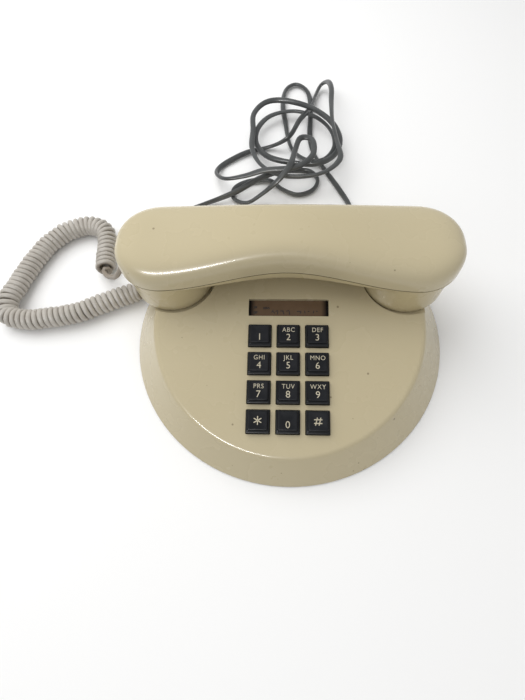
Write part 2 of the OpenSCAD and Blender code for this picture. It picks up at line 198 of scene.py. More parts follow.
# %% A class for shader maths
class Wire:
    """An output socket of a material, with operators that add Math nodes."""

    def __init__(self, make, socket):
        self.make, self.socket = make, socket

    def _math(self, operation, *values):
        return self.make.node("ShaderNodeMath", {"operation": operation},
                              dict(enumerate(values)))

    def __add__(self, other):
        return self._math("ADD", self, other)

    def __sub__(self, other):
        return self._math("SUBTRACT", self, other)

    def __rsub__(self, other):
        return self._math("SUBTRACT", other, self)

    def __mul__(self, other):
        return self._math("MULTIPLY", self, other)

    def abs(self):
        return self._math("ABSOLUTE", self)


class Finish:
    """A material, and one method that makes any node in it."""

    def __init__(self, name):
        self.material = bpy.data.materials.new(name)
        self.material.use_nodes = True
        self.tree = self.material.node_tree
        self.tree.nodes.clear()
        self.out = self.tree.nodes.new("ShaderNodeOutputMaterial")

    def node(self, kind, settings=None, inputs=None, output=0):
        made = self.tree.nodes.new(kind)
        for key, value in (settings or {}).items():
            if key == "stops":
                ramp = made.color_ramp
                while len(ramp.elements) > 2:
                    ramp.elements.remove(ramp.elements[-1])
                while len(ramp.elements) < len(value):
                    ramp.elements.new(1.0)
                for element, (place, shade) in zip(ramp.elements, value):
                    element.position = place
                    element.color = (*shade, 1) if len(shade) == 3 else shade
            else:
                setattr(made, key, value)
        for key, value in (inputs or {}).items():
            self.put(made.inputs[key], value)
        return Wire(self, made.outputs[output])

    def put(self, socket, value):
        if isinstance(value, Wire):
            self.tree.links.new(value.socket, socket)
        elif isinstance(value, tuple) and len(value) == 3 and socket.type == "RGBA":
            socket.default_value = (*value, 1)
        else:
            socket.default_value = value

    def noise(self, where, scale, detail=3.0, rough=0.5):
        return self.node("ShaderNodeTexNoise", {"noise_dimensions": "3D"},
                         {"Vector": where, "Scale": scale, "Detail": detail,
                          "Roughness": rough})

    def here(self):
        return self.node("ShaderNodeTexCoord", output=3)

    def ramp(self, value, stops):
        return self.node("ShaderNodeValToRGB", {"stops": stops}, {"Fac": value})

    def mixed(self, share, first, second):
        mix = self.tree.nodes.new("ShaderNodeMix")
        mix.data_type = "RGBA"
        for key, value in (("Factor_Float", share), ("A_Color", first),
                           ("B_Color", second)):
            self.put(next(s for s in mix.inputs if s.identifier == key), value)
        return Wire(self, next(s for s in mix.outputs if s.identifier == "Result_Color"))

    def bump(self, height, strength=0.2, distance=0.0002):
        return self.node("ShaderNodeBump", {}, {"Height": height, "Strength": strength,
                                                "Distance": distance})

    def surface(self, **inputs):
        made = self.tree.nodes.new("ShaderNodeBsdfPrincipled")
        for key, value in inputs.items():
            self.put(made.inputs[key.replace("_", " ")], value)
        self.tree.links.new(made.outputs[0], self.out.inputs["Surface"])
        return self.material


def specks(make, where, scale, size):
    """Small round spots: 1 in a spot and 0 between them."""
    cell = make.node("ShaderNodeTexVoronoi", {"feature": "F1"},
                     {"Vector": where, "Scale": scale}, output=0)
    pick = make.noise(where, scale * 0.37, 1.0)
    return make.ramp(cell + (0.62 - pick) * 1.4, [(size, (1, 1, 1)), (size + 0.03, (0, 0, 0))])


# %% [markdown]
# ## Ivory plastic
# The shell is glossy moulded plastic that has yellowed a little and unevenly. The
# colour drifts slowly over a hand's width, with a few dark specks, and wear shows in
# the gloss as faint smears.


# %% The ivory shell
def ivory(name, shade=(0.52, 0.453, 0.298), deep=(0.505, 0.434, 0.276)):
    make = Finish(name)
    where = make.here()
    drift = make.noise(where, 11, 3.0, 0.5)
    colour = make.mixed(make.ramp(drift, [(0.2, (0, 0, 0)), (0.8, (1, 1, 1))]), shade, deep)
    fine = make.noise(where, 420, 2.0)
    colour = make.mixed((fine - 0.5).abs() * 0.12, colour, (0.44, 0.37, 0.22))
    darkening = specks(make, where, 170, 0.03)
    colour = make.mixed(darkening * 0.6, colour, (0.13, 0.09, 0.05))
    smear = make.noise(where, 38, 3.0, 0.5)
    rough = make.ramp(smear, [(0.25, (0.23, 0.23, 0.23)), (0.8, (0.33, 0.33, 0.33))])
    skin = make.bump(make.noise(where, 900, 2.0) + smear * 0.5, 0.05, 0.0002)
    return make.surface(Base_Color=colour, Roughness=rough, Normal=skin,
                        Coat_Weight=0.3, Coat_Roughness=0.1, Specular_IOR_Level=0.3)


IVORY = ivory("ivory shell")
# painted shade: the lower shell gets a darker copy of the same ivory, for the shade under the handset
IVORY_LOW_SHADED = ivory("ivory lower shell", (0.50, 0.428, 0.26), (0.47, 0.39, 0.22))
print("ivory finishes ready")


# %% [markdown]
# ## Keys, cords and the rest
# The keys are black satin plastic. The curly cord is soft vinyl, pale, with painted shade where
# its turns touch. The line cord is dark grey and slightly shiny.


# %% Other finishes
def plain(name, colour, other, rough=(0.35, 0.5), scale=60, metal=0.0, grain=500,
          bump=0.08, coat=0.0, shine=0.5):
    """A finish with two shades, drifting gloss and a fine grain."""
    make = Finish(name)
    where = make.here()
    drift = make.noise(where, scale, 4.0, 0.6)
    tone = make.mixed(make.ramp(drift, [(0.3, (0, 0, 0)), (0.7, (1, 1, 1))]), colour, other)
    gloss = make.ramp(drift, [(0.25, (rough[0],) * 3), (0.8, (rough[1],) * 3)])
    skin = make.bump(make.noise(where, grain, 2.0), bump, 0.0002)
    return make.surface(Base_Color=tone, Roughness=gloss, Metallic=metal, Normal=skin,
                        Coat_Weight=coat, Specular_IOR_Level=shine)


KEY_BLACK = plain("key black", (0.006, 0.007, 0.009), (0.012, 0.013, 0.016),
                  (0.30, 0.48), 90, bump=0.12, shine=0.22)
LEGEND = plain("legend ivory", (0.60, 0.55, 0.42), (0.50, 0.45, 0.33), (0.4, 0.5))
STEEL = plain("plated steel", (0.55, 0.54, 0.52), (0.44, 0.43, 0.40), (0.28, 0.45), 40,
              metal=1.0)
BRASS = plain("gong brass", (0.62, 0.46, 0.20), (0.50, 0.36, 0.14), (0.25, 0.4), 40,
              metal=1.0)
COPPER = plain("copper winding", (0.48, 0.20, 0.08), (0.35, 0.13, 0.05), (0.3, 0.4), 300,
               metal=0.6, grain=1500, bump=0.5)
RUBBER = plain("black rubber", (0.016, 0.016, 0.016), (0.03, 0.03, 0.029), (0.6, 0.8))
DOME = plain("dome rubber", (0.55, 0.53, 0.47), (0.5, 0.48, 0.42), (0.5, 0.7))
INNER = plain("inner plastic", (0.03, 0.03, 0.032), (0.045, 0.045, 0.046), (0.5, 0.65))
BOARD = plain("circuit board", (0.04, 0.13, 0.06), (0.06, 0.17, 0.07), (0.3, 0.45))
LINE_GREY = plain("line cord vinyl", (0.045, 0.048, 0.049), (0.085, 0.09, 0.09),
                  (0.28, 0.42), 45, bump=0.1, coat=0.15)
PLUG = plain("plug plastic", (0.46, 0.44, 0.39), (0.38, 0.36, 0.31), (0.15, 0.3), coat=0.3)
PLUG_GREY = plain("grey plug plastic", (0.12, 0.125, 0.12), (0.17, 0.175, 0.17),
                  (0.2, 0.35), coat=0.2)
GOLD = plain("contact gold", (0.75, 0.52, 0.18), (0.65, 0.42, 0.14), (0.2, 0.3), metal=1.0)
# painted shade: a near-black sheet inside the seam between the handset's shells
SEAM_SHADE = plain("gap between shells", (0.010, 0.008, 0.005), (0.018, 0.013, 0.008), (0.8, 0.9),
            shine=0.1)


def curly_vinyl():
    """Pale vinyl with painted shade in the grooves: the attribute groove is 1 where turns touch."""
    make = Finish("curly cord vinyl")
    where = make.here()
    groove = make.node("ShaderNodeAttribute", {"attribute_name": "groove"}, output=2)
    drift = make.noise(where, 70, 4.0, 0.6)
    tone = make.mixed(make.ramp(drift, [(0.3, (0, 0, 0)), (0.7, (1, 1, 1))]),
                      (0.52, 0.49, 0.445), (0.43, 0.40, 0.355))
    # painted shade: darker brown deep in the coil where the turns touch, broken up by the drift noise
    darkening = make.ramp(groove + (drift - 0.5) * 0.7, [(0.35, (0, 0, 0)), (0.95, (1, 1, 1))])
    tone = make.mixed(darkening * 0.7, tone, (0.20, 0.155, 0.11))
    tone = make.mixed(specks(make, where, 150, 0.05) * 0.6, tone, (0.14, 0.10, 0.07))
    rough = make.ramp(drift, [(0.3, (0.42, 0.42, 0.42)), (0.8, (0.6, 0.6, 0.6))])
    return make.surface(Base_Color=tone, Roughness=rough,
                        Normal=make.bump(make.noise(where, 500, 3.0), 0.12, 0.0002))


CURLY = curly_vinyl()
print("finishes", len(bpy.data.materials))


def give(obj, *materials):
    """Puts materials in a piece's slots and gives the piece back."""
    obj.data.materials.clear()
    for material in materials:
        obj.data.materials.append(material)
    return obj


# %% [markdown]
# ## Cords
# Both cords are tubes swept along a smooth line, through nearly the same points as
# the design's cord solids. The curly cord adds a helix around that line, whose radius
# grows from nothing at each straight end.


# %% Smooth lines and swept tubes
def smooth_line(points, steps):
    """A smooth curve through the points, with so many steps from each to the next."""
    p = np.array(points, float)
    p = np.vstack([2 * p[0] - p[1], p, 2 * p[-1] - p[-2]])
    t = np.linspace(0, 1, steps, endpoint=False)[:, None]
    parts = []
    for i in range(1, len(p) - 2):
        a, b, c, d = p[i - 1:i + 3]
        parts.append(0.5 * (2 * b + (c - a) * t + (2 * a - 5 * b + 4 * c - d) * t ** 2
                            + (3 * b - a - 3 * c + d) * t ** 3))
    return np.vstack(parts + [p[-2:-1]])


def even(line, step):
    """The line again, with points an even step apart."""
    along = np.r_[0, np.cumsum(np.linalg.norm(np.diff(line, axis=0), axis=1))]
    at = np.linspace(0, along[-1], int(along[-1] / step) + 1)
    return np.stack([np.interp(at, along, line[:, k]) for k in range(3)], axis=1)


def frames_along(line):
    """A side and an up for each point of a line, without sudden turns."""
    ahead = np.gradient(line, axis=0)
    ahead /= np.linalg.norm(ahead, axis=1)[:, None]
    side = np.cross((0, 0, 1), ahead[0])
    side /= np.linalg.norm(side)
    sides = []
    for d in ahead:
        side = side - d * (side @ d)
        side /= np.linalg.norm(side)
        sides.append(side)
    sides = np.array(sides)
    return sides, np.cross(ahead, sides)


def sweep(name, line, radii, sides=12, flat=1.0, twist=None):
    """A tube along a line, with a radius at each point; flat makes it oval."""
    side, up = frames_along(line)
    if twist is not None:
        c, s = np.cos(twist)[:, None], np.sin(twist)[:, None]
        side, up = c * side + s * up, c * up - s * side
    turn = 2 * np.pi * np.arange(sides) / sides
    rings = [line[i] + radii[i] * (np.cos(turn)[:, None] * side[i]
                                   + flat * np.sin(turn)[:, None] * up[i])
             for i in range(len(line))]
    return loft(name, rings)


# %% The line cord
LINE_ROUTE = [
    (48, 103, 10), (53, 120, 4), (45, 141, 3), (33, 165, 3), (23, 187, 3), (20, 210, 3),
    (21, 236, 3), (21, 260, 3), (17, 276, 3), (7, 284, 3), (-3, 276, 3), (-6, 254, 3), (-3, 226, 3),
    (0, 203, 3), (6, 187, 3), (19, 175, 5), (33, 174, 8), (42, 188, 9), (39, 209, 9), (26, 227, 9),
    (5, 236, 9), (-17, 230, 9), (-29, 213, 9), (-30, 193, 9), (-19, 175, 10), (2, 166, 11),
    (24, 162, 13), (40, 170, 15), (46, 188, 16), (39, 210, 17), (21, 231, 16), (-4, 243, 15),
    (-22, 241, 15), (-33, 225, 15), (-33, 203, 15), (-33, 180, 15), (-25, 159, 16), (-8, 145, 17),
    (14, 141, 19), (32, 144, 22), (44, 158, 23), (42, 179, 23), (39, 204, 23), (39, 230, 22),
    (40, 253, 20), (38, 271, 14), (32, 278, 6), (26, 264, 4), (21, 242, 8), (10, 216, 15),
    (2, 197, 15), (-7, 194, 9), (-21, 194, 3), (-37, 189, 3), (-51, 180, 3), (-62, 170, 3),
    (-64, 156, 8), (-55, 144, 14), (-38, 143, 18), (-21, 145, 22), (0, 145, 24), (13, 150, 25),
    (21, 161, 26), (20, 178, 25), (10, 180, 25), (5, 162, 27), (1, 144, 29), (-8, 134, 23),
    (-22, 130, 11), (-36, 126, 4), (-48, 132, 3), (-47, 144, 3), (-34, 152, 3), (-17, 153, 3),
    (-6, 143, 3), (8, 136, 3), (21, 141, 3), (26, 153, 3), (20, 163, 3), (8, 164, 4), (-10, 157, 9),
    (-27, 146, 11), (-44, 135, 9), (-60, 130, 5), (-75, 125, 3), (-88, 118, 3), (-94, 106, 4)]
LINE_R = 2.5
line_middle = even(smooth_line(LINE_ROUTE, 10), 2.2)
run = np.linspace(0, 1, len(line_middle))
sway = 0.9 * np.sin(run * 61) + 0.7 * np.sin(run * 23 + 1) + 0.3
line_cord = give(sweep("line_cord_tube", line_middle, [LINE_R] * len(line_middle), 16,
                       0.66, sway), LINE_GREY)
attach(line_cord, "base")
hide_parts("line_cord")

# %% The curly cord
CURL_ROUTE = [(-120, 31, 8.3), (-140, 22, 8.3), (-160, 13, 8.3), (-180, 8, 8.3),
              (-199, 6, 8.3), (-215, 10, 9), (-217, 22, 11), (-213, 40, 9), (-208, 58, 8.3),
              (-200, 76, 8.3), (-184, 92, 8.3), (-166, 97, 8.3), (-153, 89, 8.3),
              (-149, 72, 8.3), (-147, 54, 9)]
TAIL_ROUTE = [(-146, 48, 10), (-141, 42, 14), (-132, 35, 23), (-124.5, 30, 34),
              (-119, 28.5, 43.5), (-116.6, 27.6, 47.8), (-113.4, 27.2, 49.3)]
SOCKET_A, LINE_A, SOCKET_R, SOCKET_Z = math.radians(164), math.radians(65), 104, 10
BOOT_END = 114.2
TURN_GAP, COIL_R, WIRE_R, TAIL_R = 4.15, 6.2, 2.05, 1.9
start = (BOOT_END * math.cos(SOCKET_A), BOOT_END * math.sin(SOCKET_A), SOCKET_Z)
core = even(smooth_line([start] + CURL_ROUTE + TAIL_ROUTE, 16), 0.45)
along = np.r_[0, np.cumsum(np.linalg.norm(np.diff(core, axis=0), axis=1))]
CURL_FROM, CURL_EASE = 2.5, 5
tail_at = int(np.argmin(np.linalg.norm(core - np.array(CURL_ROUTE[-1]), axis=1)))
curl_to = along[tail_at]
ease = (np.clip((along - CURL_FROM) / CURL_EASE, 0, 1)
        * np.clip((curl_to - along) / CURL_EASE + 1, 0, 1))
ease = ease * ease * (3 - 2 * ease)
core_side, core_up = frames_along(core)
turned = np.clip(along, CURL_FROM, curl_to + CURL_EASE) - CURL_FROM
angle = 2 * np.pi * turned / TURN_GAP
helix = core + (COIL_R * ease)[:, None] * (np.cos(angle)[:, None] * core_side
                                           + np.sin(angle)[:, None] * core_up)
wobble = 0.22 * np.sin(along / 7.3) + 0.18 * np.sin(along / 2.9 + 2)
helix = helix + (wobble * ease)[:, None] * core_side
curl_middle = even(helix, 2.6)
height = np.interp(np.linspace(0, 1, len(curl_middle)), np.linspace(0, 1, len(helix)), ease)
radii = TAIL_R + (WIRE_R - TAIL_R) * height
curly_cord = give(sweep("curly_cord", curl_middle, radii, 12), CURLY)


def mark_grooves(obj):
    """Stores how deep each point lies in the coil: 0 outside, 1 where turns touch."""
    verts = np.array([v.co[:] for v in obj.data.vertices]) / MM
    nearest = np.array([np.linalg.norm(core[::4] - v, axis=1).min() for v in verts])
    wanted = np.clip((COIL_R + WIRE_R - nearest) / (WIRE_R * 1.35), 0, 1)
    layer = obj.data.attributes.new("groove", "FLOAT", "POINT")
    layer.data.foreach_set("value", wanted.astype(np.float32))


mark_grooves(curly_cord)
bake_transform(curly_cord)
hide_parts("handset_cord_coil", "handset_cord_tail", "handset_cord_lead")

# %% [markdown]
# ## Modular plugs
# Each cord ends in a small clear plug: a block with rounded edges, gold contacts in
# narrow slots, a springy latch, and a ribbed boot that eases the cord's bend. The
# ribs repeat along the boot, so a small Geometry Nodes tree places them.


# %% Ribs by Geometry Nodes
def socket_of(tree, name, kind, out=False):
    """A named input or output of a node tree."""
    return tree.interface.new_socket(name=name, in_out="OUTPUT" if out else "INPUT",
                                     socket_type=kind)


def rib_tree():
    """Rings of a given radius, spaced evenly along X."""
    tree = bpy.data.node_groups.new("boot ribs", "GeometryNodeTree")
    ids = {}
    for name, kind in (("Count", "NodeSocketInt"), ("Spacing", "NodeSocketFloat"),
                       ("Radius", "NodeSocketFloat"), ("Thickness", "NodeSocketFloat"),
                       ("Material", "NodeSocketMaterial")):
        ids[name] = socket_of(tree, name, kind).identifier
    socket_of(tree, "Geometry", "NodeSocketGeometry", True)
    add, link = tree.nodes.new, tree.links.new
    given, result = add("NodeGroupInput"), add("NodeGroupOutput")
    line = add("GeometryNodeMeshLine")
    step = add("ShaderNodeCombineXYZ")
    ring, profile = add("GeometryNodeCurvePrimitiveCircle"), add("GeometryNodeCurvePrimitiveCircle")
    ring.inputs["Resolution"].default_value = 28
    profile.inputs["Resolution"].default_value = 8
    tube, turn = add("GeometryNodeCurveToMesh"), add("GeometryNodeTransform")
    turn.inputs["Rotation"].default_value = (0, math.pi / 2, 0)
    place, real = add("GeometryNodeInstanceOnPoints"), add("GeometryNodeRealizeInstances")
    paint = add("GeometryNodeSetMaterial")
    link(given.outputs["Count"], line.inputs["Count"])
    link(given.outputs["Spacing"], step.inputs["X"])
    link(step.outputs[0], line.inputs["Offset"])
    link(given.outputs["Radius"], ring.inputs["Radius"])
    link(given.outputs["Thickness"], profile.inputs["Radius"])
    link(ring.outputs[0], tube.inputs[0])
    link(profile.outputs[0], tube.inputs[1])
    link(tube.outputs[0], turn.inputs["Geometry"])
    link(line.outputs[0], place.inputs["Points"])
    link(turn.outputs[0], place.inputs["Instance"])
    link(place.outputs[0], real.inputs[0])
    link(real.outputs[0], paint.inputs["Geometry"])
    link(given.outputs["Material"], paint.inputs["Material"])
    link(paint.outputs[0], result.inputs[0])
    return tree, ids


RIBS, RIB_IDS = rib_tree()


def ribs(name, count, spacing, radius, thick, material):
    """A plain mesh of rings along X, in millimetres."""
    obj = bpy.data.objects.new(name, bpy.data.meshes.new(name))
    scene.collection.objects.link(obj)
    mod = obj.modifiers.new("ribs", "NODES")
    mod.node_group = RIBS
    for key, value in (("Count", count), ("Spacing", spacing * MM), ("Radius", radius * MM),
                       ("Thickness", thick * MM), ("Material", material)):
        mod[RIB_IDS[key]] = value
    return finished(obj)


def rounded_box(name, low, high, bevel, segments=3):
    """A block between two corners, in millimetres, with rounded edges."""
    points = [(x, y, z) for x in (low[0], high[0]) for y in (low[1], high[1])
              for z in (low[2], high[2])]
    faces = [(0, 1, 3, 2), (4, 6, 7, 5), (0, 4, 5, 1), (2, 3, 7, 6), (0, 2, 6, 4),
             (1, 5, 7, 3)]
    obj = new_object(name, points, faces)
    modified(obj, "BEVEL", width=bevel * MM, segments=segments, limit_method="NONE")
    return finished(obj)


def cylinder(name, centre, radius, low, high, axis="Z", sides=48, bevel=0.0):
    """A round block along an axis, in millimetres."""
    turn = 2 * np.pi * np.arange(sides) / sides
    rings = []
    cut = [(low, radius - bevel), (low + bevel, radius), (high - bevel, radius),
           (high, radius - bevel)] if bevel else [(low, radius), (high, radius)]
    for h, r in cut:
        a, b, c = r * np.cos(turn), r * np.sin(turn), np.full(sides, h)
        xyz = {"Z": (a, b, c), "X": (c, a, b)}[axis]
        rings.append(np.stack(xyz, axis=1) + np.array(centre))
    return loft(name, rings)


def placed(obj, matrix):
    """Moves a piece's mesh, so that its object stays at the origin."""
    obj.data.transform(matrix)
    return obj


def modular_plug(name, matrix, body, boot_r, boot=(5.2, 10.2), size=(7.2, 6.2)):
    """A plug along +X, its block in the socket and its boot outside."""
    w, h = size[0] / 2, size[1] / 2
    block = give(rounded_box(name + "_block", (-9.3, -w, -h), (boot[0], w, h), 0.5), body)
    latch = give(rounded_box(name + "_latch", (-8.5, -1.7, h + 0.1), (boot[0] - 1, 1.7, h + 0.8),
                             0.3), body)
    neck = give(cylinder(name + "_neck", (0, 0, 0), boot_r - 0.5, boot[0] - 0.4, boot[1],
                         "X", 28, 0.4), body)
    rings = ribs(name + "_ribs", 4, (boot[1] - boot[0] - 1.2) / 3, boot_r - 0.5, 0.35, body)
    placed(rings, Matrix.Translation(((boot[0] + 0.7) * MM, 0, 0)))
    pins = [give(rounded_box(f"{name}_pin{k}", (-9.35, -2.1 + 1.4 * k - 0.25, -h - 0.02),
                             (-5.5, -2.1 + 1.4 * k + 0.25, -h + 1), 0.1, 1), GOLD)
            for k in range(4)]
    return placed(joined(name, [block, latch, neck, rings] + pins), matrix)


def socket_place(a):
    """Where a plug sits in the wall of the base, facing outwards at angle a."""
    return (Matrix.Rotation(a, 4, "Z")
            @ Matrix.Translation((SOCKET_R * MM, 0, SOCKET_Z * MM)))


base_plug = modular_plug("base_plug", socket_place(SOCKET_A), PLUG, 3.0)
phone_plug = modular_plug("line_plug", socket_place(LINE_A), PLUG_GREY, 3.0)
away = Matrix.Translation((-0.1030, 0.0272, 0.0495)) @ Matrix.Rotation(math.pi, 4, "Z")
hand_plug = modular_plug("handset_plug", away, PLUG, 2.8, (5.0, 10.2), (6.8, 5.6))
wall_turn = Matrix.Translation((-0.100, 0.104, 0.0042)) @ Matrix.Rotation(
    math.radians(25), 4, "Z") @ Matrix.Translation((-0.0052, 0, 0))
wall_plug = modular_plug("wall_plug", wall_turn, PLUG_GREY, 3.1, size=(11.4, 7.6))
for piece, body, node in ((base_plug, "base", "base_end_plug"),
                          (phone_plug, "base", "line_plug_phone"),
                          (hand_plug, "handset", "handset_end_plug"),
                          (wall_plug, "base", "line_plug_wall")):
    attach(piece, body)
    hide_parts(node)

# %% The cords are made
print("cords made")

# %% [markdown]
# ## The housing
# The housing is one moulding: a cone that leans outwards, a soft rim and a sloping
# panel. Its outside is lofted from rings that go up the wall, round the rim and in
# over the panel. The inside is the same shape drawn in, and the holes are cut with
# booleans, so that their edges can be rounded afterwards.


# %% Housing shape
RIM_STEPS, WALL_STEPS = 10, 8


def form_rings(inset, low, turns=192):
    """Rings of the base form, drawn in by inset, from the foot to the middle."""
    bend = RIM_R - inset / 2
    theta = 2 * np.pi * np.arange(turns) / turns
    c, s = np.cos(theta), np.sin(theta)
    foot = BASE_R - 1.13 * inset

    def panel_ring(r, h):
        return np.array([on_panel(r * a, PANEL_V + r * b * (1 - 0.02 * max(b, 0)), h)
                         for a, b in zip(c, s)])

    bottom = np.stack([foot * c, foot * s, np.full(turns, low)], axis=1)
    rings = [bottom]
    centre_r, centre_h = PANEL_R - 1.1 * inset - bend, -inset - bend
    middle = panel_ring(centre_r, centre_h)
    normal = np.array(on_panel(0, 0, 1)) - np.array(on_panel(0, 0, 0))
    out = panel_ring(centre_r + 1, centre_h) - middle
    run = bottom - middle
    first = np.arctan2(run @ normal, (run * out).sum(1))
    reach = np.hypot(run @ normal, (run * out).sum(1))
    tangent = first + np.arccos(bend / reach)
    rim = []
    for k in range(RIM_STEPS + 1):
        phi = tangent + (np.pi / 2 - tangent) * k / RIM_STEPS
        rim.append(middle + bend * (np.cos(phi)[:, None] * out
                                    + np.sin(phi)[:, None] * normal))
    for k in range(1, WALL_STEPS):
        rings.append(bottom + (rim[0] - bottom) * k / WALL_STEPS)
    rings += rim
    for share in (0.8, 0.4, 0.1):
        rings.append(panel_ring(centre_r * share, -inset))
    return rings


def cut(obj, tool, operation="DIFFERENCE"):
    """One solid cut by another, or joined to it. The tool isn't kept."""
    modified(obj, "BOOLEAN", operation=operation, object=tool, solver="EXACT")
    finished(obj)
    bpy.data.objects.remove(tool)
    return obj


def panel_matrix(x, v):
    return (Matrix.Translation((0, 0, PANEL_Z * MM)) @ Matrix.Rotation(TILT, 4, "X")
            @ Matrix.Translation((x * MM, v * MM, 0)))


def prism(name, half_w, half_h, low, high, corner, matrix):
    """A block with rounded upright edges, set on the panel."""
    outline = rounded_outline(half_w, half_h, corner, 4)
    rings = [[(x, y, z) for x, y in outline] for z in (low, high)]
    return placed(loft(name, rings), matrix)


def rounded_outline(half_w, half_h, corner, steps):
    """Points round a rectangle with round corners."""
    points = []
    for cx, cy, begin in ((1, 1, 0), (-1, 1, 90), (-1, -1, 180), (1, -1, 270)):
        for k in range(steps + 1):
            a = math.radians(begin + 90 * k / steps)
            points.append((cx * (half_w - corner) + corner * math.cos(a),
                           cy * (half_h - corner) + corner * math.sin(a)))
    return points


WALL, ROUND_SIDES = 2.8, 128
PLUNGER, PLUNGER_HOLE_R = (59, 27), 2.9
housing = loft("housing_shell", form_rings(0, FOOT_GAP))
hollow = loft("hollow", form_rings(WALL, FOOT_GAP - 2))
cups = [cylinder(f"cup{s}", (s * CRADLE[0], CRADLE[1], 0), CRADLE[2] + WALL,
                 CRADLE[3] - WALL, 80, sides=ROUND_SIDES) for s in (-1, 1)]
hollow = cut(hollow, joined("cup_wall", cups))
housing = cut(housing, hollow)
scoops = [cylinder(f"scoop{s}", (s * CRADLE[0], CRADLE[1], 0), CRADLE[2], CRADLE[3], 90,
                   sides=ROUND_SIDES) for s in (-1, 1)]
housing = cut(housing, joined("scoops", scoops))
holes = [prism(f"hole{i}{j}", KEY_HOLE / 2, KEY_HOLE / 2, -9, 9, 0.7,
               panel_matrix((j - 1) * KEY_PITCH, v))
         for i, v in enumerate(KEY_ROWS) for j in range(3)]
holes.append(prism("window_hole", WINDOW[0] / 2, WINDOW[1] / 2, -9, 9, 0.5,
                   panel_matrix(0, WINDOW[2])))
holes += [cylinder(f"plunger_hole{s}", (s * PLUNGER[0], PLUNGER[1], 0), PLUNGER_HOLE_R,
                   25, 45, sides=32) for s in (-1, 1)]
for a in (SOCKET_A, LINE_A):
    holes.append(placed(rounded_box("socket_hole", (-6, -5.3, -4.3), (14, 5.3, 4.3), 0.5),
                        socket_place(a)))
housing = cut(housing, joined("holes", holes))
print("housing has", len(housing.data.polygons), "faces before its edges are rounded")


# %% Round the housing's edges
def weigh_edges(obj, angle, rule):
    """Gives each sharp edge the bevel weight that rule(middle) says."""
    bm = bmesh.new()
    bm.from_mesh(obj.data)
    bmesh.ops.remove_doubles(bm, verts=bm.verts, dist=0.00002)
    layer = bm.edges.layers.float.new("bevel_weight_edge")
    for edge in bm.edges:
        if len(edge.link_faces) == 2 and edge.calc_face_angle(0) > angle:
            edge[layer] = rule((edge.verts[0].co + edge.verts[1].co) / 2 / MM)
    bm.to_mesh(obj.data)
    bm.free()


def lip(place):
    """The cradle's lip is soft, and the holes are crisp."""
    reach = min(math.hypot(place.x - s * CRADLE[0], place.y - CRADLE[1]) for s in (-1, 1))
    if abs(reach - CRADLE[2]) < 0.3 and place.z > CRADLE[3] - 0.5:
        return 1.0
    return 0.22


weigh_edges(housing, math.radians(28), lip)
modified(housing, "BEVEL", width=1.3 * MM, segments=3, limit_method="WEIGHT",
         use_clamp_overlap=True)
housing = give(finished(housing, 40), IVORY)
modified(housing, "WEIGHTED_NORMAL", keep_sharp=True, weight=80)
finished(housing, 40)
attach(housing, "base")
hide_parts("housing")
print("housing", [round(c, 4) for c in housing.dimensions])

# %% [markdown]
# ## Keys
# A key is a square skirt with a smaller raised top, set a little towards the back, so
# a bright ledge shows at the front. Its top is slightly hollow to fit a fingertip.
# The legend is moulded through in pale plastic, which here is thin raised lettering.


# %% Make the twelve keys
KEY_RISE, LEDGE, TOP_BACK = 4.5, 2.7, 0.6
LEGENDS = {"1": ("", -2.5), "2": ("ABC", 0), "3": ("DEF", 0), "4": ("GHI", 0),
           "5": ("JKL", 0), "6": ("MNO", 0), "7": ("PRS", 0), "8": ("TUV", 0),
           "9": ("WXY", 0), "star": ("", -0.2), "0": ("", -2.8), "hash": ("", -0.3)}
NAMES = ["1", "2", "3", "4", "5", "6", "7", "8", "9", "star", "0", "hash"]


def key_cap(name, matrix):
    """Rings from the flange up the skirt, over the ledge and into the hollow top."""
    half, top = KEY_SIDE / 2 - 0.2, 6.3
    plan = [(half, 0, -3.0, 0.5), (half, 0, LEDGE - 0.45, 0.5), (half - 0.12, 0, LEDGE - 0.15, 0.5),
            (half - 0.45, 0, LEDGE, 0.5), (top + 0.35, TOP_BACK, LEDGE + 0.02, 0.6),
            (top + 0.1, TOP_BACK, LEDGE + 0.25, 0.6), (top - 0.1, TOP_BACK, KEY_RISE - 0.5, 0.7),
            (top - 0.25, TOP_BACK, KEY_RISE - 0.15, 0.8), (top - 0.6, TOP_BACK, KEY_RISE, 0.9),
            (top - 1.1, TOP_BACK, KEY_RISE - 0.04, 1.0), (top * 0.6, TOP_BACK, KEY_RISE - 0.28, 1.0),
            (top * 0.3, TOP_BACK, KEY_RISE - 0.4, 0.6), (top * 0.05, TOP_BACK, KEY_RISE - 0.42, 0.1)]
    rings = [[(x, y + back, z) for x, y in rounded_outline(h, h, r, 5)]
             for h, back, z, r in plan]
    return placed(loft(name, rings), matrix)


def lettering(name, text, size, x, y, matrix, stretch=1.0):
    """Raised letters, centred on a place on the key's top."""
    curve = bpy.data.curves.new(name, "FONT")
    curve.body, curve.size, curve.align_x, curve.align_y = text, size * MM, "CENTER", "CENTER"
    curve.extrude, curve.offset, curve.resolution_u = 0.2 * MM, -0.006 * size * MM, 4
    curve.space_character = 1.12
    maker = bpy.data.objects.new(name, curve)
    scene.collection.objects.link(maker)
    mesh = bpy.data.meshes.new_from_object(maker)
    bpy.data.objects.remove(maker)
    obj = bpy.data.objects.new(name, mesh)
    scene.collection.objects.link(obj)
    mesh.transform(Matrix.Diagonal((stretch, 1, 1, 1)))
    mesh.transform(Matrix.Translation((x * MM, y * MM, (KEY_RISE - 0.19) * MM)))
    return placed(obj, matrix)


def bars(name, strokes, matrix):
    """Straight pale bars: each is a middle, an angle, a length and a width."""
    made = []
    for k, (cx, cy, a, long, wide) in enumerate(strokes):
        bar = rounded_box(f"{name}_{k}", (-long / 2, -wide / 2, -0.2), (long / 2, wide / 2, 0.2),
                          0.05, 1)
        made.append(placed(bar, matrix @ Matrix.Translation(
            (cx * MM, cy * MM, (KEY_RISE - 0.22) * MM)) @ Matrix.Rotation(a, 4, "Z")))
    return made


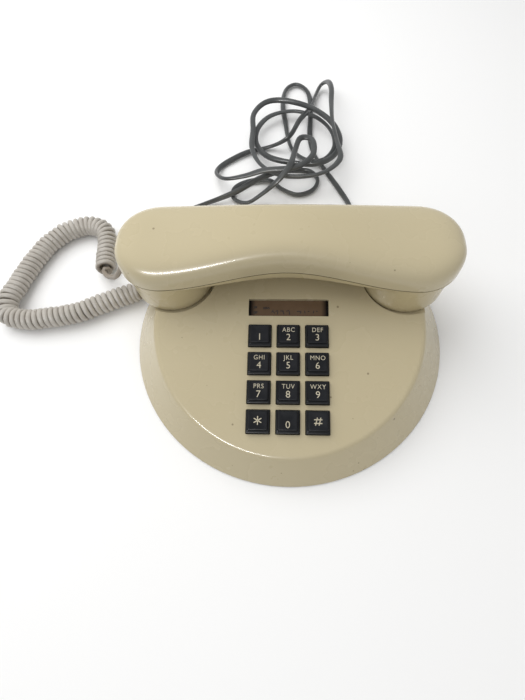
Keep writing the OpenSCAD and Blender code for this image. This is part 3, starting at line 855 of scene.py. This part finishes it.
for i, label in enumerate(NAMES):
    column, row = i % 3 - 1, i // 3
    matrix = panel_matrix(column * KEY_PITCH, KEY_ROWS[row])
    cap = give(key_cap(f"cap_{label}", matrix), KEY_BLACK)
    letters, shift = LEGENDS[label]
    middle = TOP_BACK + shift
    if label == "star":
        marks = bars("star", [(0, middle, math.radians(a), 5.6, 0.62) for a in (90, 30, 150)],
                     matrix)
    elif label == "hash":
        slant = math.radians(76)
        marks = bars("hash", [(s * 1.1, middle, slant, 5.1, 0.6) for s in (-1, 1)]
                     + [(0, middle + s * 1.15, 0, 5.2, 0.6) for s in (-1, 1)], matrix)
    else:
        drop = -2.6 if letters else 0
        marks = [lettering(f"digit_{label}", label, 6.4, 0, middle + drop, matrix)]
        if letters:
            marks.append(lettering(f"letters_{label}", letters, 4.3, 0.1, middle + 2.6, matrix, 0.95))
    for mark in marks:
        give(mark, LEGEND)
    node = f"key_{label}"
    piece = joined(f"keycap_{label}", [cap] + marks)
    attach(piece, node)
    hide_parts(node)
print("keys made", len(NAMES))

# %% [markdown]
# ## The number window
# A smoked strip sits just under the panel. Behind it is a card on which someone once
# wrote a number: only faint strokes show, and here they are meaningless marks. The
# strip is darkest at its two ends, where the card stops.


# %% Window and card
def smoked():
    make = Finish("smoked window")
    where = make.here()
    across = make.node("ShaderNodeSeparateXYZ", {}, {"Vector": where}, output=0)
    ends = make.ramp(across.abs() * (1 / 0.0272), [(0.82, (0, 0, 0)), (0.96, (1, 1, 1))])
    cloud = make.noise(where, 160, 4.0)
    tone = make.mixed(cloud, (0.12, 0.075, 0.043), (0.155, 0.10, 0.06))
    tone = make.mixed(ends, tone, (0.006, 0.005, 0.005))
    rough = make.ramp(cloud, [(0.3, (0.35,) * 3), (0.8, (0.5,) * 3)])
    return make.surface(Base_Color=tone, Roughness=rough, Specular_IOR_Level=0.12)


LENS = smoked()
INK = plain("faded ink", (0.016, 0.011, 0.009), (0.05, 0.034, 0.025), (0.4, 0.5))
lens = placed(rounded_box("lens", (-28.8, -7.8, 0), (28.8, 7.8, 1.4), 0.3),
              panel_matrix(0, WINDOW[2]) @ Matrix.Translation((0, 0, -4.35 * MM)))
give(lens, LENS)
stroke_line = [(-17, 0.6, 90, 1.7), (-16.1, 0.6, 90, 1.7), (-15.2, 1.2, 0, 0.8),
               (-15.2, 0.6, 90, 1.5), (-14.2, 0.6, 70, 1.6), (-13.4, 0.6, 110, 1.6),
               (-22.8, 1.6, 0, 2.6), (-22.8, 0.7, 10, 2.2), (-22.6, -2.2, 0, 2.8),
               (-22.9, -3.1, 5, 2.2), (-11, -1.6, 60, 2.4), (-10, -2.4, 130, 2.2),
               (-8, -1.4, 20, 2.0), (-7.4, -2.8, 80, 2.2), (-4.5, -1.4, 0, 2.4),
               (-3.4, -2.8, 110, 2.4), (-0.5, -1.3, 15, 2.2), (0.8, -2.8, 95, 2.6),
               (7, -1.7, 5, 2.6), (8.4, -2.4, 65, 1.8), (11.2, -2.1, 100, 1.9),
               (13.8, -1.6, 20, 1.4), (17.2, -2.0, 80, 1.8), (19.4, -1.5, 0, 1.2)]
strokes = []
for k, (x, y, a, long) in enumerate(stroke_line):
    bar = rounded_box(f"stroke{k}", (-long / 2, -0.36, 0), (long / 2, 0.36, 0.1), 0.02, 1)
    strokes.append(give(placed(bar, panel_matrix(0, WINDOW[2]) @ Matrix.Translation(
        (x * MM, y * MM, -2.955 * MM)) @ Matrix.Rotation(math.radians(a), 4, "Z")), INK))
lens = joined("window_strip", [lens] + strokes)
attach(lens, "base")
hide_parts("number_window")
print("window strip", len(stroke_line), "strokes")

# %% [markdown]
# ## The handset
# The handset is lofted across its length. Each section is a rounded box whose width
# and height follow simple rules: narrow at the grip, round at the ends, low at the
# tips. The lower shell uses the same sections, reaching down into two cups.

# %% Handset rules
HAND_L, END_W, GRIP_W, GRIP_TOP, END_TOP = 227.6, 61.4, 46.0, 87.0, 79.0
END_R = END_W / 2
END_X = HAND_L / 2 - END_R
SEAM_MID, SEAM_END, GRIP_UNDER = 68.0, 61.0, 59.2
HAND_Y, SEAM_REACH, CREST_REACH, TIP_STEPS = 31, 86, 92, 26
CAPSULE, CAPSULE_HOLE_R = (75, 27.5), 12.7
SCREW_X, SCREW_HEAD_R = 40, 3.3


def ease_in(t):
    t = np.clip(t, 0, 1)
    return t * t * (3 - 2 * t)


def half_width(x):
    a = np.abs(x)
    tip = END_R * np.sqrt(np.clip(1 - ((a - END_X) / END_R) ** 2, 0, 1))
    return np.where(a <= END_X, GRIP_W / 2 + (END_R - GRIP_W / 2) * ease_in(a / END_X), tip)


def middle_y(x):
    return HAND_Y - 1.6 * ease_in(np.abs(x) / END_X)


def seam_z(x):
    return SEAM_MID - (SEAM_MID - SEAM_END) * ease_in(np.abs(x) / SEAM_REACH)


def end_fall(x):
    past = np.clip((np.abs(x) - END_X) / END_R, 0, 1)
    return (1 - past ** 3.4) ** (1 / 3.4)


def crest_z(x):
    return GRIP_TOP - (GRIP_TOP - END_TOP) * ease_in(np.abs(x) / CREST_REACH)


def stations(count=40):
    """Places along the handset, close together where it turns down at its tips."""
    tip = END_X + END_R * np.sin(np.linspace(0, math.radians(88.5), TIP_STEPS))[1:]
    run = np.linspace(-END_X, END_X, 2 * count + 1)
    return np.r_[-tip[::-1], run, tip]


# %% Top shell
def arch(x, w, squareness, foot, tall, roundness, edge, arc=44):
    """A section that arches away from the seam, with a small edge turned in at it."""
    a = np.pi * np.arange(arc + 1) / arc
    c, s = np.cos(a), np.sin(a)
    y = float(middle_y(x)) + w * np.sign(c) * np.abs(c) ** squareness
    z = float(seam_z(x)) + foot + tall * s ** roundness
    lip_in = min(0.8, w * 0.3)
    edge_z = float(seam_z(x)) + edge
    return ([(x, y[0] - lip_in, edge_z)] + [(x, yy, zz) for yy, zz in zip(y, z)]
            + [(x, y[-1] + lip_in, edge_z)])


def top_ring(x):
    """One section above the seam."""
    w, h = float(half_width(x)), float((crest_z(x) - seam_z(x)) * end_fall(x))
    return arch(x, max(w, 0.3), 0.58, 0.55, max(h, 0.3) - 0.4, 0.6, 0.4)


def seam_ring(x):
    """One section of a near-black sheet in the gap between the shells: painted shade for the seam."""
    w, y, z = max(float(half_width(x)) - 0.3, 0.1), float(middle_y(x)), float(seam_z(x))
    return [(x, y + w, z - 0.5), (x, y + w, z + 0.6), (x, y - w, z + 0.6), (x, y - w, z - 0.5)]


top_shell = give(loft("handset_top", [top_ring(x) for x in stations()]), IVORY)
gap = give(loft("handset_gap", [seam_ring(x * 0.995) for x in stations()], smooth=False), SEAM_SHADE)
top_shell = joined("handset_top", [top_shell, gap])
top_shell.data.set_sharp_from_angle(angle=math.radians(50))
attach(top_shell, "handset")
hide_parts("handset_top_shell")
print("top shell", [round(c, 4) for c in top_shell.dimensions])


# %% Lower shell with its cups
def strip_ring(x):
    """One section of the handle's underside, just below the seam."""
    w = max(float(half_width(x)) - 0.12, 0.25)
    d = max(0.3, float(seam_z(x)) - GRIP_UNDER - 0.1) * float(end_fall(x)) + 0.1
    return arch(x, w, 0.36, -0.35, 0.25 - d, 0.42, -0.18)


# height, middle x and y, and radius of a cup, from its floor up to the seam
CUP = [(35.5, 80, 26.8, 25.8), (35.7, 80, 26.8, 26.9), (36.3, 80, 26.8, 27.8),
       (37.4, 80, 26.8, 28.4), (40, 80, 26.8, 28.55), (46, 80.2, 27.1, 28.75),
       (52, 80.5, 27.6, 29.1), (57.5, 81.0, 28.3, 29.7), (60.4, 81.4, 28.7, 30.0)]


def drum(side, sides=160):
    turn = 2 * np.pi * np.arange(sides) / sides
    rings = [np.stack([side * cx + r * np.cos(turn), cy + r * np.sin(turn),
                       np.full(sides, z)], axis=1) for z, cx, cy, r in CUP]
    return loft(f"drum{side}", rings)


lower_shell = loft("handset_lower", [strip_ring(x) for x in stations(60)])
for side in (-1, 1):
    lower_shell = cut(lower_shell, drum(side), "UNION")
inside = [rounded_box(f"inside{s}", (s * 78 - 16, 14, 37.9), (s * 78 + 16, 42, 56), 3)
          for s in (-1, 1)]
lower_shell = cut(lower_shell, joined("hollows", inside))
pockets = [cylinder(f"pocket{s}", (s * CAPSULE[0], CAPSULE[1], 0), CAPSULE_HOLE_R, 30, 41,
                    sides=96) for s in (-1, 1)]
pockets += [cylinder(f"sink{s}", (s * SCREW_X, HAND_Y, 0), SCREW_HEAD_R, 50, 60.2)
            for s in (-1, 1)]
pockets.append(rounded_box("cord_hole", (-118, 22.2, 45.5), (-100, 32.2, 53.5), 0.6))
lower_shell = cut(lower_shell, joined("pockets", pockets))


def corner(place):
    """A wide fillet where a cup meets the handle, and crisp edges elsewhere."""
    reach = math.hypot(abs(place.x) - 81, place.y - 28.5)
    return 1.0 if place.z > 57 and abs(place.x) < 66 and reach > 20 else 0.12


weigh_edges(lower_shell, math.radians(30), corner)
modified(lower_shell, "BEVEL", width=2.6 * MM, segments=4, limit_method="WEIGHT",
         use_clamp_overlap=True)
lower_shell = give(finished(lower_shell, 40), IVORY_LOW_SHADED)
for shell in (top_shell, lower_shell):
    placed(shell, Matrix.Translation((HANDSET_X * MM, 0, 0)))
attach(lower_shell, "handset")
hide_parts("handset_lower_shell")
print("lower shell", len(lower_shell.data.polygons), "faces")

# %% [markdown]
# ## Parts that keep their design shapes
# The plate under the base, its feet and everything inside keep the exact shapes of
# the design. Each gets the finish that it has on the real telephone.

# %% Finishes for the design's own parts
KEPT = {
    STEEL: ["base_plate", "base_screws", "keypad_screws", "hook_lever", "hook_bracket",
            "hook_pivot_pin", "ringer_frame", "gong_screws", "ringer_clapper",
            "handset_screws", "receiver_capsule", "transmitter_capsule"],
    RUBBER: ["base_feet", "capsule_rings"],
    INNER: ["card_tray", "keypad_frame", "hook_switch", "handset_socket", "line_socket",
            "handset_end_socket", "network_parts"],
    BOARD: ["keypad_board", "network_board"],
    BRASS: ["ringer_gong_large", "ringer_gong_small"],
    COPPER: ["ringer_coil"],
    DOME: ["contact_domes"],
    LEGEND: ["number_card"],
    IVORY: ["hook_plunger_left", "hook_plunger_right", "receiver_grille",
            "transmitter_grille"],
}
for material, nodes in KEPT.items():
    for node in nodes:
        give(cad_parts[node], material)
print("finished", sum(len(nodes) for nodes in KEPT.values()), "design parts")

# %% [markdown]
# ## Floor and light
# A plain pale floor. A large soft light from the back left and a weaker one from
# above shade the telephone, and a narrow strip at the front left draws the highlights.

# %% Floor and lights
FLOOR_HALF = 6
floor_mesh = bpy.data.meshes.new("floor")
floor_mesh.from_pydata([(-FLOOR_HALF, -FLOOR_HALF, 0), (FLOOR_HALF, -FLOOR_HALF, 0),
                        (FLOOR_HALF, FLOOR_HALF, 0), (-FLOOR_HALF, FLOOR_HALF, 0)],
                       [], [(0, 1, 2, 3)])
floor = bpy.data.objects.new("floor", floor_mesh)
scene.collection.objects.link(floor)
paper = Finish("floor")
floor.data.materials.append(paper.surface(Base_Color=(0.93, 0.93, 0.925), Roughness=0.9))


def area_light(name, place, target, size, power, shines):
    """A light that only shades, or one that only shows as a reflection."""
    lamp = bpy.data.lights.new(name, "AREA")
    lamp.shape, lamp.size, lamp.size_y = "RECTANGLE", size[0], size[1]
    lamp.energy = power
    obj = bpy.data.objects.new(name, lamp)
    obj.location = place
    aim = Vector(target) - Vector(place)
    obj.rotation_euler = aim.to_track_quat("-Z", "Y").to_euler()
    obj.visible_glossy, obj.visible_diffuse = shines, not shines
    scene.collection.objects.link(obj)


area_light("window light", (-0.42, 0.36, 0.74), (0, 0, 0), (0.9, 0.9), 6.6, False)
area_light("gloss strip", (-0.33, -0.57, 0.60), (0, -0.03, 0.04), (0.5, 0.1), 8.0, True)
area_light("far fill", (0.05, -0.45, 1.0), (0, 0, 0), (1.0, 1.0), 1.6, False)
world = bpy.data.worlds.new("room")
world.use_nodes = True
world.node_tree.nodes["Background"].inputs["Color"].default_value = (1, 1, 1, 1)
world.node_tree.nodes["Background"].inputs["Strength"].default_value = 0.52
scene.world = world
scene.view_settings.view_transform = "Standard"
